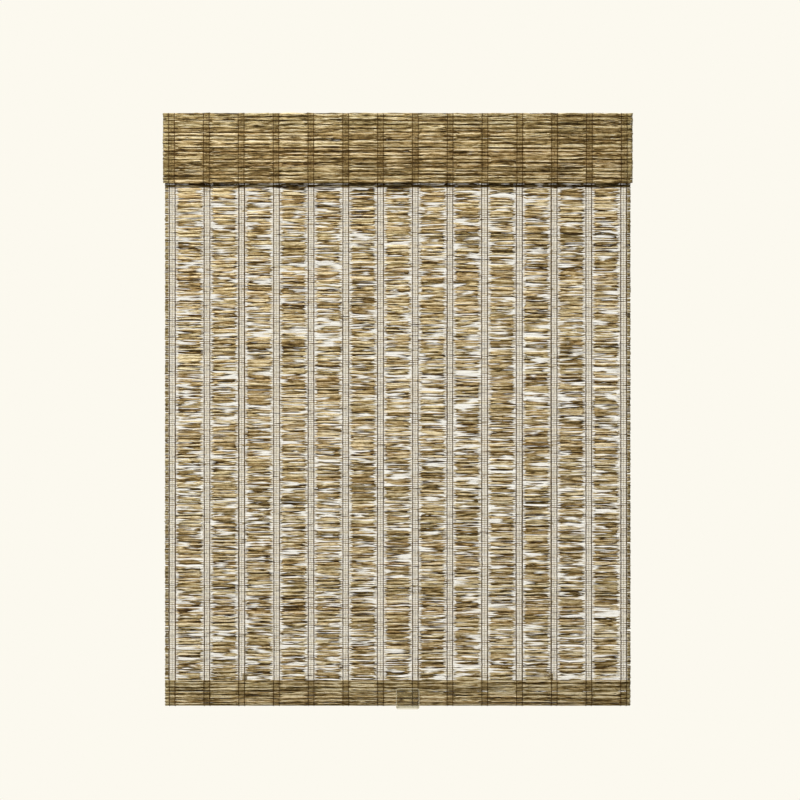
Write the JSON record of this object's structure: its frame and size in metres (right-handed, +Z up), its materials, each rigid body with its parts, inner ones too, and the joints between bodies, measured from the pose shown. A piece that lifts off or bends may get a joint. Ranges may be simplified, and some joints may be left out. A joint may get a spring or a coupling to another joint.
{
  "type": "woven wood shade",
  "caption": "Cordless woven reed shade with a matching valance, spring-balanced in its headrail, for mounting inside a window recess.",
  "frame": {"origin": "centre of the four bracket screws on the plane of the window head", "axes": "+Z up, -Y towards the room, +X to the right seen from the room"},
  "size_m": [0.944, 0.0711, 1.2041],
  "materials": {
    "reed": "split reed stems, tan, straw and brown, uneven and matt",
    "warp_yarn": "twisted brown yarn",
    "hook_and_loop": "beige hook-and-loop tape",
    "lift_cord": "braided polyester cord",
    "headrail_steel": "dark bronze baked enamel on roll-formed steel",
    "bracket_steel": "zinc-plated steel strip",
    "bright_steel": "drawn steel",
    "spring_steel": "blue-grey spring steel",
    "cap_plastic": "moulded dark brown plastic",
    "drum_plastic": "natural acetal",
    "mechanism_plastic": "moulded off-white plastic",
    "small_plastic": "moulded cream plastic",
    "batten_wood": "planed softwood",
    "rail_aluminium": "mill-finish extrusion",
    "clear_plastic": "clear polycarbonate, slightly smoky"
  },
  "bodies": {
    "headrail": {"headrail": "headrail_steel", "left_cord_cradle": "mechanism_plastic", "left_end_cap": "cap_plastic", "left_lift_cord": "lift_cord", "left_mounting_bracket": "bracket_steel", "mat_hook_tape": "hook_and_loop", "mat_loop_tape": "hook_and_loop", "motor_cover": "mechanism_plastic", "motor_cover_screws": "bright_steel", "motor_housing": "mechanism_plastic", "motor_spring": "spring_steel", "right_cord_cradle": "mechanism_plastic", "right_end_cap": "cap_plastic", "right_lift_cord": "lift_cord", "right_mounting_bracket": "bracket_steel", "shade_mat": "reed", "shade_warp_yarns": "warp_yarn", "storage_axle": "bright_steel", "valance": "reed", "valance_batten": "batten_wood", "valance_hook_tape": "hook_and_loop", "valance_loop_tape": "hook_and_loop", "valance_warp_yarns": "warp_yarn"},
    "bottom_rail": {"bottom_rail": "rail_aluminium", "left_rail_cap": "small_plastic", "right_rail_cap": "small_plastic", "lift_handle": "clear_plastic", "left_cord_anchor": "small_plastic", "right_cord_anchor": "small_plastic"},
    "lift_shaft": {"lift_shaft": "bright_steel", "shaft_clips": "spring_steel", "left_cord_spool": "drum_plastic", "right_cord_spool": "drum_plastic", "output_drum": "drum_plastic"},
    "storage_drum": {"storage_drum": "drum_plastic"},
    "ring_row_1": {"cord_rings_row_1": "small_plastic"},
    "ring_row_2": {"cord_rings_row_2": "small_plastic"},
    "ring_row_3": {"cord_rings_row_3": "small_plastic"},
    "ring_row_4": {"cord_rings_row_4": "small_plastic"},
    "ring_row_5": {"cord_rings_row_5": "small_plastic"},
    "ring_row_6": {"cord_rings_row_6": "small_plastic"}
  },
  "joints": [
    {"name": "lift", "type": "slide", "parent": "headrail", "child": "bottom_rail", "axis": [0, 0, 1], "range_m": [0, 0.9], "deforming": ["shade_mat", "shade_warp_yarns", "left_lift_cord", "right_lift_cord", "motor_spring"]},
    {"name": "ring_row_1_slide", "type": "slide", "parent": "headrail", "child": "ring_row_1", "axis": [0, 0, 1], "range_m": [0, 0.1418]},
    {"name": "ring_row_2_slide", "type": "slide", "parent": "headrail", "child": "ring_row_2", "axis": [0, 0, 1], "range_m": [0, 0.2682]},
    {"name": "ring_row_3_slide", "type": "slide", "parent": "headrail", "child": "ring_row_3", "axis": [0, 0, 1], "range_m": [0, 0.3946]},
    {"name": "ring_row_4_slide", "type": "slide", "parent": "headrail", "child": "ring_row_4", "axis": [0, 0, 1], "range_m": [0, 0.521]},
    {"name": "ring_row_5_slide", "type": "slide", "parent": "headrail", "child": "ring_row_5", "axis": [0, 0, 1], "range_m": [0, 0.6474]},
    {"name": "ring_row_6_slide", "type": "slide", "parent": "headrail", "child": "ring_row_6", "axis": [0, 0, 1], "range_m": [0, 0.7738]},
    {"name": "shaft_spin", "type": "hinge", "parent": "headrail", "child": "lift_shaft", "pos_m": [0, -0.0101, -0.025], "axis": [-1, 0, 0], "range_deg": [0, 5263]},
    {"name": "storage_spin", "type": "hinge", "parent": "headrail", "child": "storage_drum", "pos_m": [0.06, 0.0087, -0.025], "axis": [1, 0, 0], "range_deg": [0, 6485]}
  ],
  "couplings": [
    {"joint": "ring_row_1_slide", "follows": "lift", "ratio": 0.15736},
    {"joint": "ring_row_2_slide", "follows": "lift", "ratio": 0.2978},
    {"joint": "ring_row_3_slide", "follows": "lift", "ratio": 0.43824},
    {"joint": "ring_row_4_slide", "follows": "lift", "ratio": 0.57868},
    {"joint": "ring_row_5_slide", "follows": "lift", "ratio": 0.71912},
    {"joint": "ring_row_6_slide", "follows": "lift", "ratio": 0.85956},
    {"joint": "shaft_spin", "follows": "lift", "rad_per_m": 102.04},
    {"joint": "storage_spin", "follows": "lift", "rad_per_m": 125.73}
  ]
}
